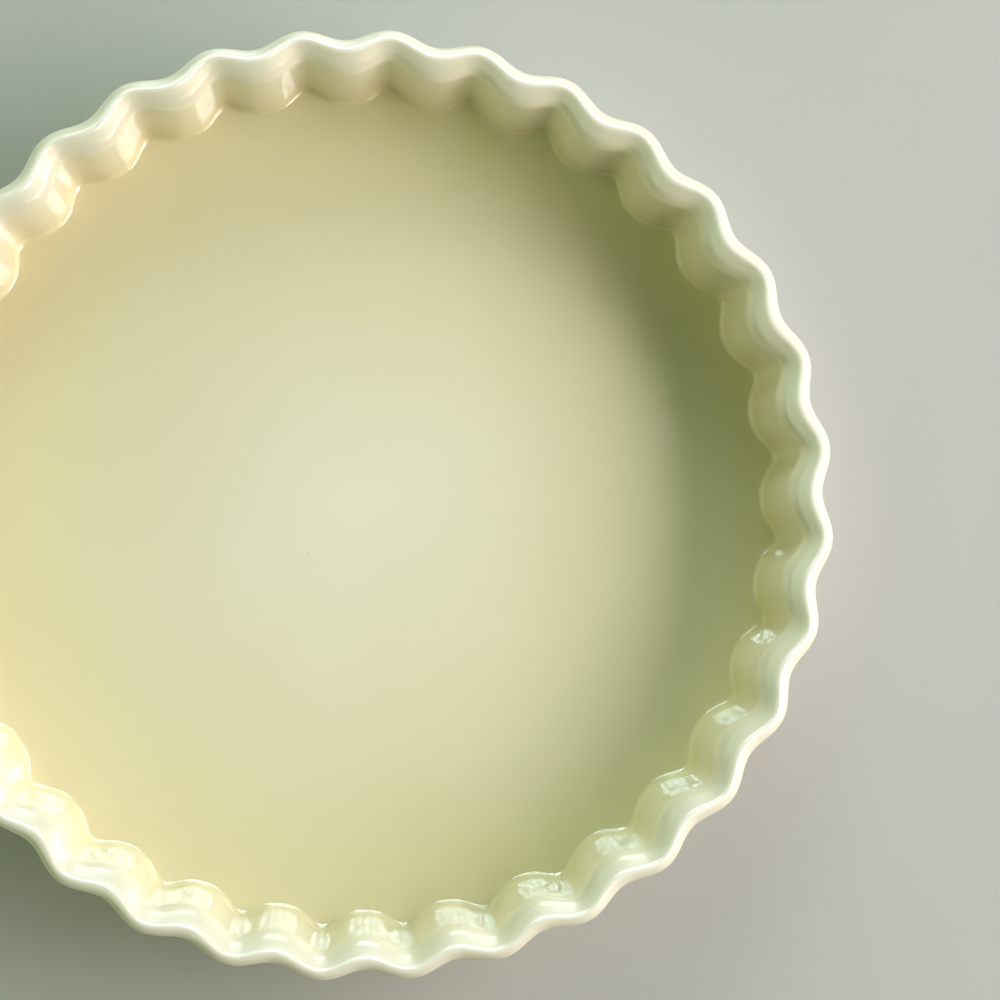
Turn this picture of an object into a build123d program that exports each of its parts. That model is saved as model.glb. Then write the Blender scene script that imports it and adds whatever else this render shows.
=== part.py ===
from build123d import *
import os
from math import atan, cos, degrees, pi, radians, sin, sqrt, tan

# Fluted quiche dish in glazed stoneware. It is one pressed and fired body: a flat floor, a wall
# that stands in flutes, a shoulder that turns out and ends in a rounded lip, and a foot ring.
# Millimetres, +Z up. The origin is on the table, under the middle of the dish.

# Overall sizes
dish_diameter = 280.0  # over the lip, from crest to crest
dish_height = 40.0  # from the table to the top of the lip
flute_count = 32

# Floor and wall. Both inside sizes go from crest to crest, where two faces would meet.
floor_diameter = 255.4
floor_thickness = 5.5
mouth_diameter = 263.2  # where the wall meets the shoulder
wall_thickness = 5.0
floor_corner_round = 1.8
base_round = 3.5  # where the outer wall turns under the floor

# Rim. It is a lip that rolls over into a sloping shoulder, with no groove between them.
lip_round = 2.6  # radius of the outer edge, from its widest line up to the top
roll_round = 2.9  # radius of the top's inner side
shoulder_slope = radians(30)  # how steeply the shoulder falls to the inside
mouth_round = 5.0  # radius of the turn from the shoulder into the wall
neck_depth = 8.0  # from the top to where the outer wall turns out under the lip

# How far a flute's crest stands out from its valleys
base_flute_depth = 4.5  # outside
floor_flute_depth = 5.0  # inside
mouth_flute_depth = 4.6
roll_flute_depth = 3.9  # where the lip meets the shoulder
lip_flute_depth = 3.4

# A flute is a crest arc and a valley arc. These are the crest's share of the two radii together:
# small is a tight crest beside a broad valley, and a half is two arcs alike.
floor_crest_share = 0.22
mouth_crest_share = 0.30
roll_crest_share = 0.42
lip_crest_share = 0.50
base_crest_share = 0.46

# Foot ring
foot_inset = 6.5  # from the underside's narrowest edge in to the ring
foot_width = 6.0
foot_height = 1.5

flute_angle = 2 * pi / flute_count
floor_top = foot_height + floor_thickness
neck_top = dish_height - neck_depth

# The section in a crest's plane, from the lip inwards. The lip's top is level at its middle radius.
lip_radius = dish_diameter / 2 - lip_round
roll_end_radius = lip_radius - roll_round * sin(shoulder_slope)
roll_end_top = dish_height - roll_round * (1 - cos(shoulder_slope))
mouth_radius = mouth_diameter / 2
mouth_top = roll_end_top - (roll_end_radius - mouth_radius) * tan(shoulder_slope)

# The wall leans out. Its outer face is its inner face, moved out square to it by the thickness.
floor_radius = floor_diameter / 2
lean = atan((mouth_radius - floor_radius) / (mouth_top - floor_top))
level_thickness = wall_thickness / cos(lean)


def inner_wall_radius(height):
    """The crest radius of the wall's inner face at a height."""
    return floor_radius + (height - floor_top) * tan(lean)


def between(first, last, share):
    return first + (last - first) * share


def fluted_ring(crest_radius, depth, crest_share, height):
    """A level face whose edge is a crest arc and a valley arc for each flute, all tangent."""
    half_flute = flute_angle / 2
    valley_radius = crest_radius - depth
    valley_share = 1 - crest_share

    # The two arcs touch where the distance between their centres is the sum of their radii.
    # That makes a quadratic in the sum.
    square = 2 * crest_share * valley_share * (1 - cos(half_flute))
    crest_pull = crest_radius * (crest_share + cos(half_flute) * valley_share)
    valley_pull = valley_radius * (valley_share + cos(half_flute) * crest_share)
    linear = 2 * (crest_pull - valley_pull)
    chord = crest_radius**2 + valley_radius**2 - 2 * crest_radius * valley_radius * cos(half_flute)
    both_radii = (sqrt(linear**2 + 4 * square * chord) - linear) / (2 * square)

    crest_tip = Vector(crest_radius, 0, height)
    crest_centre = Vector(crest_radius - crest_share * both_radii, 0, height)
    valley_tip = Vector(valley_radius, 0, height).rotate(Axis.Z, degrees(half_flute))
    valley_centre_radius = valley_radius + valley_share * both_radii
    valley_centre = Vector(valley_centre_radius, 0, height).rotate(Axis.Z, degrees(half_flute))
    crest_end = crest_centre + (valley_centre - crest_centre) * crest_share
    crest_start = Vector(crest_end.X, -crest_end.Y, height)
    next_start = crest_start.rotate(Axis.Z, degrees(flute_angle))

    arcs = []
    for flute in range(flute_count):
        turn = Rot(0, 0, flute * degrees(flute_angle))
        arcs.append(turn * ThreePointArc(crest_start, crest_tip, crest_end))
        arcs.append(turn * ThreePointArc(crest_end, valley_tip, next_start))
    return Face(Wire(arcs))


def underside_crest_radius():
    """Where the outer wall has turned under, at the height of its rounding."""
    return inner_wall_radius(foot_height + base_round) + level_thickness - base_round


def outer_wall_rings():
    """From the edge of the underside, round the base and up the wall to the neck."""
    underside_radius = underside_crest_radius()
    neck_radius = inner_wall_radius(neck_top) + level_thickness
    return [
        fluted_ring(underside_radius, base_flute_depth, base_crest_share, foot_height),
        fluted_ring(
            underside_radius + base_round,
            base_flute_depth,
            base_crest_share,
            foot_height + base_round,
        ),
        fluted_ring(neck_radius, mouth_flute_depth, lip_crest_share, neck_top),
    ]


def lip_rings():
    """Up round the outer edge to the top, and over it to the start of the shoulder."""
    rings = []
    for angle in (0, pi / 4, pi / 2):
        rings.append(
            fluted_ring(
                lip_radius + lip_round * cos(angle),
                lip_flute_depth,
                lip_crest_share,
                dish_height - lip_round + lip_round * sin(angle),
            )
        )
    rings.append(fluted_ring(roll_end_radius, roll_flute_depth, roll_crest_share, roll_end_top))
    return rings


def mouth_rings():
    """Round the turn from the shoulder into the wall: its two ends and its middle."""
    turn = pi / 2 - lean - shoulder_slope
    shoulder_length = (roll_end_radius - mouth_radius) / cos(shoulder_slope)
    reach = min(mouth_round * tan(turn / 2), shoulder_length)
    corner = Vector(mouth_radius, mouth_top)
    start = corner + Vector(cos(shoulder_slope), sin(shoulder_slope)) * reach
    end = corner - Vector(sin(lean), cos(lean)) * reach

    # An arc's middle lies between its chord and the corner, by the cosine of half the turn.
    chord_middle = between(start, end, 0.5)
    corner_pull = cos(turn / 2) / (1 + cos(turn / 2))
    middle = between(chord_middle, corner, corner_pull)
    return [
        fluted_ring(start.X, mouth_flute_depth, mouth_crest_share, start.Y),
        fluted_ring(middle.X, mouth_flute_depth, mouth_crest_share, middle.Y),
        fluted_ring(end.X, mouth_flute_depth, mouth_crest_share, end.Y),
    ]


def floor_corner_rings():
    """Where the wall turns into the floor."""
    corner_top = floor_top + floor_corner_round
    corner_radius = inner_wall_radius(corner_top)
    floor_edge_radius = corner_radius - floor_corner_round
    return [
        fluted_ring(corner_radius, floor_flute_depth, floor_crest_share, corner_top),
        fluted_ring(floor_edge_radius, floor_flute_depth, floor_crest_share, floor_top),
    ]


def foot_ring():
    """The bare ring that the dish stands on, drawn up into the floor that carries it."""
    outer_radius = underside_crest_radius() - base_flute_depth - foot_inset
    outline = Circle(outer_radius) - Circle(outer_radius - foot_width)
    return extrude(outline, foot_height + floor_thickness / 2)


def fluted_dish():
    """One loft follows the section round, from the underside over the lip to the floor."""
    rings = outer_wall_rings() + lip_rings() + mouth_rings() + floor_corner_rings()
    return loft(rings, ruled=True) + foot_ring()


dish = fluted_dish()
os.makedirs("parts", exist_ok=True)
export_step(dish, "parts/fluted_dish.step")
print("volume in cubic centimetres:", round(dish.volume / 1000, 1))
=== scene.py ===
# %% [markdown]
# # A fluted quiche dish in cream glaze
#
# The real thing is one piece of stoneware: a flat floor, a wall that stands in flutes, a
# shoulder that turns out and ends in a rounded lip, and a foot ring underneath. This lesson
# dresses the measured model of it. The model comes in as a fixed frame, so nothing here has to
# be scaled or moved into place, and every length is in metres.

# %% Load the measured dish
from math import acos, ceil, cos, pi, radians, sin

import bpy
from mathutils import Euler, Matrix, Vector


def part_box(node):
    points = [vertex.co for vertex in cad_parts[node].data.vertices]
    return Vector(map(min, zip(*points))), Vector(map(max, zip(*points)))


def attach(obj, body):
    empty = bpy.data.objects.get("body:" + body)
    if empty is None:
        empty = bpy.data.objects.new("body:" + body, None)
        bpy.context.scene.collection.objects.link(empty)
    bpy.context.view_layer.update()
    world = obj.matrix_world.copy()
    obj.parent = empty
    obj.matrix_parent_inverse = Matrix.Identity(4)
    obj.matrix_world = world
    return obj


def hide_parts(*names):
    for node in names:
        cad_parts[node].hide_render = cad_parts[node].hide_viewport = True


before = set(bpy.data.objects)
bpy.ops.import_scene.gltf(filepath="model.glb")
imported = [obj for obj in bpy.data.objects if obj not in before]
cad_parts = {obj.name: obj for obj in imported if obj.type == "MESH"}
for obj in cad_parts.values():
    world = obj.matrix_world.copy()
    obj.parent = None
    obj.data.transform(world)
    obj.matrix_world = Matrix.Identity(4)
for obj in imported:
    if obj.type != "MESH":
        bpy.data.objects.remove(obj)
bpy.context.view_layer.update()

dish_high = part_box("fluted_dish")[1]
rim_radius = dish_high.x
rim_height = dish_high.z
print("the dish is", round(2 * rim_radius, 4), "m wide and", round(rim_height, 4), "m high")

# %% [markdown]
# ## The camera
#
# The photograph looks almost straight down, from about a metre. Where the camera stands was
# worked out from two outlines that lie at different heights, the rim and the foot of the inner
# wall: the nearer one is drawn larger and slides sideways as the camera moves. A long lens
# keeps the perspective as weak as it is there. The dish was turned a little on the table, so
# the camera is turned the other way, and the dish stays square to its axes.

# %% Place the camera
MM = 0.001
dish_turn = radians(6.91)
lip_level = rim_height - 2.2 * MM
camera_above_lip = 1000.0 * MM
camera_place = Vector((-6.8 * MM, -32.7 * MM, camera_above_lip + lip_level))
camera_tilt = (radians(1.927), radians(-2.796))
picture_pixels = 1000
focal_pixels = 3443.0
sensor = 36.0


def turned_with_dish(matrix):
    """From the picture's axes to the dish's own."""
    return Matrix.Rotation(-dish_turn, 4, "Z") @ matrix


camera_data = bpy.data.cameras.new("overhead_camera")
camera_data.sensor_width = sensor
camera_data.lens = focal_pixels / picture_pixels * sensor
camera = bpy.data.objects.new("overhead_camera", camera_data)
tilt_x = Matrix.Rotation(camera_tilt[0], 4, "X")
tilt_y = Matrix.Rotation(camera_tilt[1], 4, "Y")
camera.matrix_world = turned_with_dish(Matrix.Translation(camera_place) @ tilt_y @ tilt_x)
bpy.context.scene.collection.objects.link(camera)
bpy.context.scene.camera = camera
print("the lens is", round(camera_data.lens, 1), "mm")

# %% [markdown]
# ## Helpers for node trees
#
# Blender's shapes and finishes are both trees of nodes. Wiring them one call at a time is long
# and hard to read, so a tree is wrapped in a Board, whose one method makes any node, and an
# output in a Wire. A Wire can be reckoned with: height * 2 - 1 makes the Math nodes for it and
# gives the wire that comes out of them. A material or a world starts with nodes of its own, so
# a last helper clears them away before a Board is laid on its tree.

# %% The helpers


class Wire:
    """An output of a node, which Python's own signs can reckon with."""

    def __init__(self, board, socket):
        self.board = board
        self.socket = socket

    def __getitem__(self, name):
        """Another output of the same node."""
        return Wire(self.board, self.socket.node.outputs[name])

    def __add__(self, other):
        return self.board.math("ADD", self, other)

    def __sub__(self, other):
        return self.board.math("SUBTRACT", self, other)

    def __rsub__(self, other):
        return self.board.math("SUBTRACT", other, self)

    def __mul__(self, other):
        return self.board.math("MULTIPLY", self, other)

    __radd__ = __add__
    __rmul__ = __mul__


class Board:
    """A node tree and the one method that puts nodes on it."""

    def __init__(self, tree):
        self.tree = tree

    def node(self, kind, settings=None, sockets=None, output=0):
        """Makes a node: its settings first, then a value or a wire for each of its sockets."""
        made = self.tree.nodes.new(kind)
        for name, value in (settings or {}).items():
            setattr(made, name, value)
        for name, value in (sockets or {}).items():
            if isinstance(value, Wire):
                self.tree.links.new(value.socket, made.inputs[name])
            else:
                made.inputs[name].default_value = value
        return Wire(self, made.outputs[output]) if made.outputs else None

    def math(self, operation, *values):
        """One step of reckoning."""
        return self.node("ShaderNodeMath", {"operation": operation}, dict(enumerate(values)))

    def smooth(self, value, low, high, low_gives=0.0, high_gives=1.0):
        """Rises gently from one value to another while the wire goes from low to high."""
        sockets = {"Value": value, "From Min": low, "From Max": high}
        sockets.update({"To Min": low_gives, "To Max": high_gives})
        return self.node("ShaderNodeMapRange", {"interpolation_type": "SMOOTHSTEP"}, sockets)

    def mix(self, share, first, second):
        """A mix of two colours, which have their own sockets on the node."""
        sockets = {0: share, 6: first, 7: second}
        return self.node("ShaderNodeMix", {"data_type": "RGBA"}, sockets, output=2)


def cleared_board(owner):
    """An empty board for the nodes of a material or of the world."""
    owner.use_nodes = True
    owner.node_tree.nodes.clear()
    return Board(owner.node_tree)


print("the helpers are ready")

# %% [markdown]
# ## The section
#
# A potter's template shows a dish as a section: the line that a cut from the middle to the rim
# would leave. Here it is drawn in the plane of a crest, which is where a flute stands furthest
# out. Each corner has a place, how far its rounding reaches, and how the flutes look there: how
# deep they are, and how pinched their crests are. The line starts in the middle of the floor,
# goes out and up the inner wall, over the lip, down the outside and back to the middle
# underneath. That order makes the finished faces point outwards. The inner wall isn't quite
# straight: it leans out a little more towards the top, as thrown and pressed walls do, and the
# mirrored panes spread over its height because of that.

# %% Sizes of the section
floor_level = 7.0 * MM
underside_level = 1.5 * MM
wall_thickness = 5.04 * MM
floor_radius = 127.7 * MM
mouth_radius = 131.6 * MM
mouth_level = rim_height - 2.9 * MM
lip_top_radius = rim_radius - 3.38 * MM
lip_underside_level = rim_height - 4.6 * MM
neck_level = rim_height - 8.0 * MM
foot_outer_radius = 118.0 * MM
foot_inner_radius = 112.0 * MM
foot_slope_top = 1.0 * MM
foot_slope_bottom = 0.4 * MM
plain_floor_radius = 108.0 * MM
wall_bend_level = 20.0 * MM
wall_hollow = 0.45 * MM
lip_top_level = rim_height - 0.02 * MM


def wall_radius(level):
    """The crest of the inner wall at a height."""
    share = (level - floor_level) / (mouth_level - floor_level)
    return floor_radius + (mouth_radius - floor_radius) * share


class Corner:
    """A corner: its place, rounding and flutes, and how deep its glaze lies, with painted shade.
    """

    def __init__(self, radius, level, reach=0.0, depth=0.0, pinch=0.0, glaze=0.3):
        self.place = Vector((radius, level))
        self.rule = Vector((depth, pinch, glaze))
        self.reach = reach


bend_radius = wall_radius(wall_bend_level) - wall_hollow
neck_radius = wall_radius(neck_level) + wall_thickness
base_radius = wall_radius(underside_level) + wall_thickness
lip_flutes = {"depth": 3.35 * MM, "pinch": -0.05}

# %% The floor and the inner wall
# The glaze number is partly pooled glaze and partly painted shade: highest at the floor's corner.
corners = [
    Corner(0.0, floor_level, glaze=0.0),
    Corner(plain_floor_radius, floor_level, glaze=0.8),
    Corner(floor_radius, floor_level, 1.8 * MM, depth=5.0 * MM, pinch=0.42, glaze=0.9),
    Corner(bend_radius, wall_bend_level, 10.0 * MM, depth=4.8 * MM, pinch=0.34, glaze=0.45),
    Corner(mouth_radius, mouth_level, 2.5 * MM, depth=4.6 * MM, pinch=0.26, glaze=0.3),
]
print("the inner wall leans out by", round((mouth_radius - floor_radius) / MM, 1), "mm")

# %% The lip and the outside
corners += [
    Corner(lip_top_radius, lip_top_level, 0.75 * MM, depth=3.9 * MM, pinch=0.08, glaze=0.05),
    Corner(rim_radius, lip_top_level, 2.55 * MM, glaze=0.0, **lip_flutes),
    Corner(rim_radius, lip_underside_level, 1.4 * MM, **lip_flutes),
    Corner(neck_radius, neck_level, 2.2 * MM, depth=4.6 * MM),
    Corner(base_radius, underside_level, 3.5 * MM, depth=4.5 * MM, pinch=-0.03),
]
print("the outer wall stands", round((rim_radius - base_radius) / MM, 1), "mm inside the lip")

# %% The foot ring and the underside
corners += [
    Corner(foot_outer_radius + foot_slope_top, underside_level, 0.7 * MM),
    Corner(foot_outer_radius - foot_slope_bottom, 0.0, 0.8 * MM),
    Corner(foot_inner_radius + foot_slope_bottom, 0.0, 0.8 * MM),
    Corner(foot_inner_radius - foot_slope_top, underside_level, 0.7 * MM),
    Corner(0.0, underside_level),
]
print("the section has", len(corners), "corners")

# %% [markdown]
# ## Rounding the corners
#
# A corner's rounding is an arc that touches both of its sides. One formula gives it: the two
# ends and the corner are averaged, with the corner weighted by the cosine of half the turn, and
# the result is an exact circle. The same average carries the flute's depth and pinch smoothly
# round the bend.

# %% Draw the section line
arc_step = radians(10)
least_arc_steps = 3
straight_steps = 4
short_straight = 1.0 * MM


class Station:
    """A point of the section line, with its place and the rule of its flutes, glaze and painted
    shade.
    """

    def __init__(self, place, rule):
        self.place = place
        self.rule = rule

    def towards(self, other, share):
        """The station at a share of the way to another one."""
        return Station(self.place.lerp(other.place, share), self.rule.lerp(other.rule, share))


def straight(first, last):
    """The points between two roundings, without their ends."""
    steps = straight_steps if (last.place - first.place).length > short_straight else 1
    return [first.towards(last, step / steps) for step in range(1, steps)]


def rounding(before, corner, after):
    """The points of the arc at a corner, both of its ends among them."""
    here = Station(corner.place, corner.rule)
    if corner.reach == 0:
        return [here]
    start = here.towards(before, corner.reach / (before.place - here.place).length)
    end = here.towards(after, corner.reach / (after.place - here.place).length)
    way_in = (here.place - before.place).normalized()
    way_out = (after.place - here.place).normalized()
    turn = acos(max(-1.0, min(1.0, way_in.dot(way_out))))
    steps = max(least_arc_steps, ceil(turn / arc_step))
    ends = (start, here, end)
    arc = []
    for step in range(steps + 1):
        share = step / steps
        shares = ((1 - share) ** 2, 2 * share * (1 - share), share**2)
        pulls = (shares[0], shares[1] * cos(turn / 2), shares[2])
        place = sum((at.place * pull for at, pull in zip(ends, pulls)), Vector((0, 0)))
        rule = sum((at.rule * part for at, part in zip(ends, shares)), Vector((0, 0, 0)))
        arc.append(Station(place / sum(pulls), rule))
    return arc


def section_line():
    """Every station, from the middle of the floor round to the middle underneath."""
    ends = [Station(corner.place, corner.rule) for corner in corners]
    line = [ends[0]]
    for before, corner, after in zip(ends, corners[1:-1], ends[2:]):
        arc = rounding(before, corner, after)
        line += straight(line[-1], arc[0]) + arc
    return line + straight(line[-1], ends[-1]) + [ends[-1]]


section = section_line()
highest = max(at.place.y for at in section)
print("the section has", len(section), "points, up to", round(highest, 5), "m high")

# %% The section as a line of edges that carries its flutes
section_mesh = bpy.data.meshes.new("dish_section")
section_mesh.from_pydata(
    [(at.place.x, 0.0, at.place.y) for at in section],
    [(number, number + 1) for number in range(len(section) - 1)],
    [],
)
# The glaze number is stored too: partly pooled glaze, partly painted shade.
for number, name in enumerate(("flute_depth", "flute_pinch", "glaze_pool_and_shade")):
    attribute = section_mesh.attributes.new(name, "FLOAT", "POINT")
    attribute.data.foreach_set("value", [at.rule[number] for at in section])
dish = bpy.data.objects.new("glazed_dish", section_mesh)
bpy.context.scene.collection.objects.link(dish)
print("the line has", len(section_mesh.edges), "edges")

# %% [markdown]
# ## Turning and fluting
#
# The dish could be modelled as a mesh and its flutes pulled by hand, but they follow a rule, so
# Geometry Nodes make them. The section is swept round a circle, which gives a plain turned
# bowl. Then every point moves in towards the axis by its own depth, times a wave that is nought
# on a crest and one in a valley. A small second wave inside the first one pinches the crests,
# as on the real wall, where broad bulges meet in narrow hollows.

# %% Build the tree that turns and flutes
tree = bpy.data.node_groups.new("turn_and_flute", "GeometryNodeTree")
board = Board(tree)
tree.interface.new_socket("Section", in_out="INPUT", socket_type="NodeSocketGeometry")
inputs = {}
for name, kind in (
    ("Rim Radius", "NodeSocketFloat"),
    ("Flutes", "NodeSocketInt"),
    ("Columns", "NodeSocketInt"),
    ("Glaze", "NodeSocketMaterial"),
    ("Bare Clay", "NodeSocketMaterial"),
    ("Bare Height", "NodeSocketFloat"),
    ("Oval", "NodeSocketFloat"),
    ("Oval Way", "NodeSocketFloat"),
    ("Waver", "NodeSocketFloat"),
    ("Seed", "NodeSocketFloat"),
):
    inputs[name] = tree.interface.new_socket(name, in_out="INPUT", socket_type=kind).identifier
tree.interface.new_socket("Dish", in_out="OUTPUT", socket_type="NodeSocketGeometry")
given = board.node("NodeGroupInput")
print("the tree takes", list(inputs))

# %% Sweep the section round a circle
upright_turn = Euler((pi / 2, 0.0, 0.0))
beside_rim = board.node("ShaderNodeCombineXYZ", sockets={"X": 0 - given["Rim Radius"]})
laid_flat = board.node(
    "GeometryNodeTransform",
    sockets={"Geometry": given["Section"], "Translation": beside_rim, "Rotation": upright_turn},
)
line_curve = board.node("GeometryNodeMeshToCurve", sockets={"Mesh": laid_flat})
rim_circle = board.node(
    "GeometryNodeCurvePrimitiveCircle",
    sockets={"Resolution": given["Columns"], "Radius": given["Rim Radius"]},
)
turned = board.node(
    "GeometryNodeCurveToMesh",
    sockets={"Curve": rim_circle, "Profile Curve": line_curve},
)
print("a turned bowl, ready for its flutes")

# %% Pull the flutes in
turned_place = board.node("GeometryNodeInputPosition")
position = board.node("ShaderNodeSeparateXYZ", sockets={0: turned_place})
angle = board.math("ARCTAN2", position["Y"], position["X"])
depth = board.node("GeometryNodeInputNamedAttribute", sockets={"Name": "flute_depth"})
pinch = board.node("GeometryNodeInputNamedAttribute", sockets={"Name": "flute_pinch"})
wave = angle * given["Flutes"]
pinched = wave + pinch * board.math("SINE", wave)
flute = depth * (1 - board.math("COSINE", pinched)) * 0.5
print("the flutes are a wave with pinched crests")

# %% [markdown]
# ## What the kiln did
#
# Clay gives a little as it is fired, so no stoneware rim is a true circle or quite level. The
# rim in the photograph is nearly three millimetres narrower one way than the other. A small
# steady waver, from a noise that goes once round the dish, keeps the flutes from looking
# stamped out. Both only ever take away, so that the dish stays inside its measured size.

# %% Let the rim go slightly oval
radius = board.math("SQRT", position["X"] * position["X"] + position["Y"] * position["Y"])
twice_round = (angle - given["Oval Way"]) * 2
oval = radius * given["Oval"] * (1 - board.math("COSINE", twice_round)) * 0.5
print("the rim is a little out of round")

# %% Let it waver
height_stretch = 10
round_the_dish = board.node(
    "ShaderNodeCombineXYZ",
    sockets={
        "X": board.math("COSINE", angle),
        "Y": board.math("SINE", angle),
        "Z": position["Z"] * height_stretch,
    },
)
noise = board.node(
    "ShaderNodeTexNoise",
    {"noise_dimensions": "4D"},
    {"Vector": round_the_dish, "W": given["Seed"], "Scale": 4.0, "Detail": 1.0},
    output="Fac",
)
up_the_wall = board.smooth(position["Z"], floor_level, rim_height)
waver = given["Waver"] * noise * up_the_wall
print("the waver grows from the floor to the rim")

# %% Move every point inwards
inwards = flute + oval + waver
move = board.node(
    "ShaderNodeCombineXYZ",
    sockets={
        "X": 0 - inwards * board.math("COSINE", angle),
        "Y": 0 - inwards * board.math("SINE", angle),
        "Z": 0 - waver,
    },
)
fluted = board.node("GeometryNodeSetPosition", sockets={"Geometry": turned, "Offset": move})
print("each point moves by its flute, the oval and the waver")

# %% Close the middle, smooth it and give it its two finishes
seam_gap = 0.01 * MM
closed = board.node(
    "GeometryNodeMergeByDistance",
    sockets={"Geometry": fluted, "Distance": seam_gap},
)
smooth = board.node("GeometryNodeSetShadeSmooth", sockets={"Geometry": closed})
whole = board.node("GeometryNodeRealizeInstances", sockets={"Geometry": smooth})
is_bare = board.node(
    "FunctionNodeCompare",
    {"data_type": "FLOAT", "operation": "LESS_THAN"},
    {0: position["Z"], 1: given["Bare Height"]},
)
glazed = board.node(
    "GeometryNodeSetMaterial",
    sockets={"Geometry": whole, "Material": given["Glaze"]},
)
finished = board.node(
    "GeometryNodeSetMaterial",
    sockets={"Geometry": glazed, "Selection": is_bare, "Material": given["Bare Clay"]},
)
board.node("NodeGroupOutput", sockets={"Dish": finished})
print("the tree has", len(tree.nodes), "nodes")

# %% [markdown]
# ## The glaze
#
# The glaze is a glassy coat, so it needs a clear, sharp gloss over a cream colour. Real glaze
# is never quite one colour or quite flat. It runs thin over the lip and gathers in the corner
# of the floor, where it looks deeper and yellower. The same deeper, yellower colour is also
# painted in as shade: it rises from the middle of the floor to its corner and fades up the
# wall, and the section carries pooling and painted shade together as one attribute. It sets
# with a faint ripple, clouds a little where it lies thicker by chance, and now and then a speck
# of iron or a pinhole shows. Towards the lip, where it is thinnest, it is a shade less glossy,
# which is why the reflections there have softer edges than those on the wall. A picture
# wrapped round the dish would smear on its steep wall, so the colour and the gloss are worked
# out from each point's own place instead.

# %% The colour of the glaze
thin_glaze = (0.84, 0.80, 0.67, 1.0)
# The deeper, yellower colour is partly pooled glaze and partly painted shade in the floor's
# corner.
pooled_and_shaded_glaze = (0.75, 0.67, 0.40, 1.0)
speck_colour = (0.42, 0.33, 0.20, 1.0)
cloud_strength = 0.3
glaze = bpy.data.materials.new("cream_glaze")
paint = cleared_board(glaze)
place = paint.node("ShaderNodeTexCoord", output="Object")
# How deep the glaze lies, with painted shade: rising from mid-floor to the corner, fading up the
# wall.
pooling_and_shade = paint.node("ShaderNodeAttribute", {"attribute_name": "glaze_pool_and_shade"}, output="Fac")
cloud = paint.node(
    "ShaderNodeTexNoise",
    sockets={"Vector": place, "Scale": 22.0, "Detail": 2.0},
    output="Fac",
)
pooled_and_shaded = pooling_and_shade + (cloud - 0.5) * cloud_strength
cream = paint.mix(pooled_and_shaded, thin_glaze, pooled_and_shaded_glaze)
print("the cream is mixed")

# %% A few specks in it
speck_core = 0.010
speck_edge = 0.022
speck_strength = 0.5
nearest = paint.node(
    "ShaderNodeTexVoronoi",
    sockets={"Vector": place, "Scale": 60.0},
    output="Distance",
)
speck = paint.smooth(nearest, speck_core, speck_edge, speck_strength, 0.0)
colour = paint.mix(speck, cream, speck_colour)
print("a speck lies here and there")

# %% The gloss of the glaze
ripple = paint.node(
    "ShaderNodeTexNoise",
    sockets={"Vector": place, "Scale": 60.0, "Detail": 1.0},
    output="Fac",
)
ripple_bump = paint.node(
    "ShaderNodeBump",
    sockets={"Height": ripple, "Strength": 0.05, "Distance": 0.3 * MM},
)
height = paint.node("ShaderNodeSeparateXYZ", sockets={0: place}, output="Z")
wall_blur = 0.03
shoulder_blur = 0.18
more_lip_blur = 0.12
shoulder_foot = rim_height - 9.0 * MM
shoulder_top = rim_height - 3.0 * MM
lip_foot = rim_height - 2.2 * MM
lip_top = rim_height - 0.3 * MM
gloss_blur = paint.smooth(height, shoulder_foot, shoulder_top, wall_blur, shoulder_blur)
gloss_blur = gloss_blur + paint.smooth(height, lip_foot, lip_top, 0.0, more_lip_blur)
shader = paint.node(
    "ShaderNodeBsdfPrincipled",
    sockets={"Base Color": colour, "Roughness": gloss_blur, "IOR": 1.5, "Normal": ripple_bump},
)
paint.node("ShaderNodeOutputMaterial", sockets={"Surface": shader})
print("the glaze has", len(glaze.node_tree.nodes), "nodes")

# %% [markdown]
# ## The bare clay
#
# A dish stands in the kiln on a ring that is wiped clean of glaze, or it would melt on to the
# shelf. The lowest edge of the foot ring therefore shows the clay itself, which is dull, darker
# than the glaze and as grainy as fine sand. One fine noise serves both its colour and its bumps,
# because the same grains make both.

# %% The bare clay of the foot ring
dark_grain = (0.62, 0.54, 0.42, 1.0)
pale_grain = (0.72, 0.64, 0.51, 1.0)
clay = bpy.data.materials.new("bare_clay")
paint = cleared_board(clay)
place = paint.node("ShaderNodeTexCoord", output="Object")
grain = paint.node(
    "ShaderNodeTexNoise",
    sockets={"Vector": place, "Scale": 1500.0, "Detail": 3.0},
    output="Fac",
)
clay_colour = paint.mix(grain, dark_grain, pale_grain)
grain_bump = paint.node(
    "ShaderNodeBump",
    sockets={"Height": grain, "Strength": 0.4, "Distance": 0.1 * MM},
)
shader = paint.node(
    "ShaderNodeBsdfPrincipled",
    sockets={"Base Color": clay_colour, "Roughness": 0.85, "Normal": grain_bump},
)
paint.node("ShaderNodeOutputMaterial", sockets={"Surface": shader})
print("the bare clay has", len(clay.node_tree.nodes), "nodes")

# %% [markdown]
# ## From the tree to a plain mesh
#
# The tree is only a recipe until its inputs are filled in. An input's name is just its label, so
# each one is set by its identifier. The finished shape could stay live in its modifier, but a
# plain mesh is what can be handed on, so the result is copied out and the modifier taken off.
# The last calls say which measured part the dish stands for and what it moves with.

# %% Fill in the tree's sizes
flute_count = 32
columns_for_a_flute = 26
oval_share = 0.010
widest_way = radians(-10.3) - dish_turn
modifier = dish.modifiers.new("turn_and_flute", "NODES")
modifier.node_group = tree
for name, value in (
    ("Rim Radius", rim_radius),
    ("Flutes", flute_count),
    ("Columns", flute_count * columns_for_a_flute),
    ("Glaze", glaze),
    ("Bare Clay", clay),
    ("Bare Height", 0.3 * MM),
    ("Oval", oval_share),
    ("Oval Way", widest_way),
    ("Waver", 0.25 * MM),
    ("Seed", 7.0),
):
    modifier[inputs[name]] = value
print("the tree is told of", flute_count, "flutes")

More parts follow.
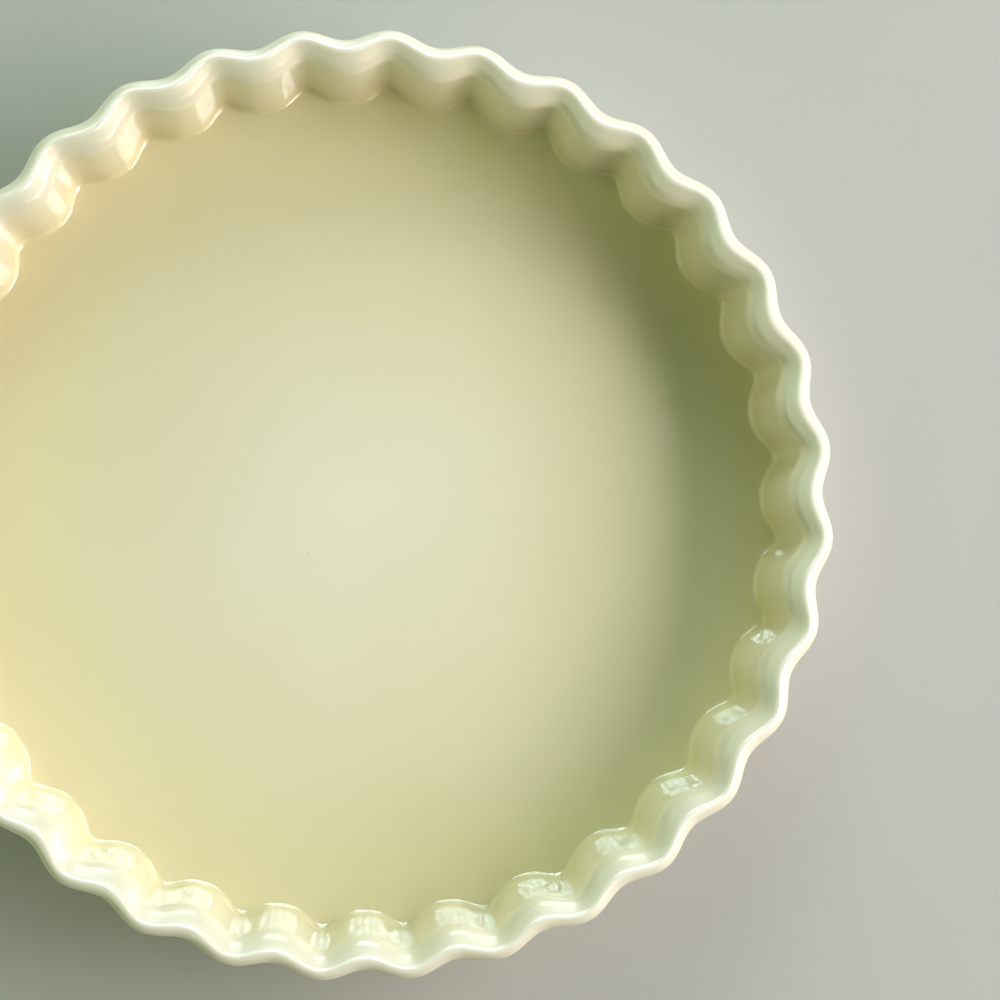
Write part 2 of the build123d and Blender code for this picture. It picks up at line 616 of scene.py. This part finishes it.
# %% Run the tree and keep its mesh
bpy.context.view_layer.update()
evaluated = dish.evaluated_get(bpy.context.evaluated_depsgraph_get())
finished_mesh = bpy.data.meshes.new_from_object(evaluated)
dish.modifiers.remove(modifier)
dish.data = finished_mesh
bpy.data.meshes.remove(section_mesh)
face_count = len(finished_mesh.polygons)
print("the dish has", face_count, "faces and", len(finished_mesh.materials), "finishes")

# %% Tie the dish to the frame
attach(dish, "root")
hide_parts("fluted_dish")
print("the dish rides on the frame")

# %% [markdown]
# ## The floor
#
# The dish stands on a plain pale floor. It is one flat round face that reaches nearly as far as
# the lamps do.

# %% The floor
stage_radius = 1.4
stage_sides = 96
stage_colour = (0.46, 0.46, 0.45, 1.0)
turns = [2 * pi * side / stage_sides for side in range(stage_sides)]
stage_edge = [(stage_radius * cos(turn), stage_radius * sin(turn), 0.0) for turn in turns]
stage_mesh = bpy.data.meshes.new("pale_floor")
stage_mesh.from_pydata(stage_edge, [], [tuple(range(stage_sides))])
stage_paint = bpy.data.materials.new("pale_floor")
stage_paint.use_nodes = True
stage_shader = stage_paint.node_tree.nodes["Principled BSDF"]
stage_shader.inputs["Base Color"].default_value = stage_colour
stage_shader.inputs["Roughness"].default_value = 0.9
stage_mesh.materials.append(stage_paint)
floor = bpy.data.objects.new("pale_floor", stage_mesh)
bpy.context.scene.collection.objects.link(floor)
print("the floor is", 2 * stage_radius, "m across")

# %% [markdown]
# ## The light
#
# A glossy glaze shows as much of the room as of itself, so the lamps are placed with as much
# care as the clay. Soft daylight comes from the right, a weaker and warmer one from the lower
# right, a cooler one from the far side, and two dim fills from the left keep the shadow under
# the right wall green and soft. Each daylight is a window: a grid of flat lamps with thin gaps,
# because the panes and their bars can be seen in the glaze.
#
# A steep wall mirrors the floor of the dish, and through it what hangs high above. Panes hang
# there too, and since so little of their light survives two reflections they have to be bright.
# They would flood the dish, so their diffuse light is switched off, and only the gloss sees
# them. A power that suits the reflection is then found without changing how the dish is lit.

# %% A window of lamps
lamp_distance = 1.8
bar_share = 0.14


def around(azimuth, elevation):
    """A place round the dish. Azimuth is counted in the picture, from its right to its top."""
    level = lamp_distance * cos(radians(elevation))
    flat = radians(azimuth) - dish_turn
    return Vector((level * cos(flat), level * sin(flat), lamp_distance * sin(radians(elevation))))


def pane(name, place, facing, size, power, colour, only_gloss):
    """One flat lamp: the larger it is, the softer its light."""
    lamp = bpy.data.lights.new(name, "AREA")
    lamp.shape = "RECTANGLE"
    lamp.size, lamp.size_y = size
    lamp.energy = power
    lamp.color = colour
    light = bpy.data.objects.new(name, lamp)
    light.rotation_mode = "QUATERNION"
    light.rotation_quaternion = facing
    light.location = place
    light.visible_diffuse = not only_gloss
    bpy.context.scene.collection.objects.link(light)


def window(name, azimuth, elevation, size, panes, power, colour, only_gloss=False):
    """A window that faces the dish, its power shared by its panes. One pane is a plain light."""
    centre = around(azimuth, elevation)
    facing = (-centre).to_track_quat("-Z", "Y")
    columns, rows = panes
    glass = 1 - bar_share if columns * rows > 1 else 1
    pane_size = (size[0] / columns * glass, size[1] / rows * glass)
    for column in range(columns):
        for row in range(rows):
            across = ((column + 0.5) / columns - 0.5) * size[0]
            up = ((row + 0.5) / rows - 0.5) * size[1]
            place = centre + facing @ Vector((across, up, 0.0))
            pane(name, place, facing, pane_size, power / (columns * rows), colour, only_gloss)


print("a window is", lamp_distance, "m away")

# %% The daylight and the fills
window("right_window", 8, 32, (1.3, 0.8), (6, 4), 31.0, (1.0, 0.965, 0.95))
window("low_window", 330, 25, (0.9, 0.7), (4, 3), 12.0, (1.0, 0.90, 0.78))
window("top_window", 86, 24, (0.9, 0.8), (5, 4), 17.5, (0.83, 1.0, 0.97))
window("high_fill", 180, 50, (2.3, 0.5), (1, 1), 6.8, (0.58, 1.0, 0.42))
window("low_fill", 180, 15, (1.2, 0.5), (1, 1), 5.5, (1.0, 0.93, 0.66))
print("three windows and two fills")

# %% The panes that only the gloss sees
window("low_panes", 325, 40, (1.4, 0.6), (4, 1), 9.0, (1.0, 0.78, 0.56), only_gloss=True)
window("low_high_panes", 342, 68, (0.40, 0.56), (4, 1), 25.0, (1.0, 0.98, 1.0), only_gloss=True)
window("top_panes", 84, 37, (0.9, 0.4), (5, 1), 3.2, (0.82, 0.94, 1.0), only_gloss=True)
window("high_panes", 84, 68, (0.72, 0.56), (5, 4), 34.0, (0.70, 0.90, 1.0), only_gloss=True)
print("there are", len(bpy.data.lights), "lamps in all")

# %% [markdown]
# ## The room
#
# The air of the room adds a trace of light from all sides, so that no shadow is black. The
# camera alone sees it as a pale backdrop behind the floor, because a backdrop that was really
# that bright would light the dish flat.

# %% The room's own light
room_colour = (1.0, 0.98, 0.9, 1.0)
backdrop_colour = (0.72, 0.73, 0.71, 1.0)
world = bpy.data.worlds.new("studio")
sky = cleared_board(world)
room_light = sky.node(
    "ShaderNodeBackground",
    sockets={"Color": room_colour, "Strength": 0.025},
)
backdrop = sky.node(
    "ShaderNodeBackground",
    sockets={"Color": backdrop_colour, "Strength": 1.0},
)
seen = sky.node("ShaderNodeLightPath", output="Is Camera Ray")
room = sky.node("ShaderNodeMixShader", sockets={0: seen, 1: room_light, 2: backdrop})
sky.node("ShaderNodeOutputWorld", sockets={"Surface": room})
bpy.context.scene.world = world
bpy.context.scene.view_settings.view_transform = "Standard"
print("the studio is lit")
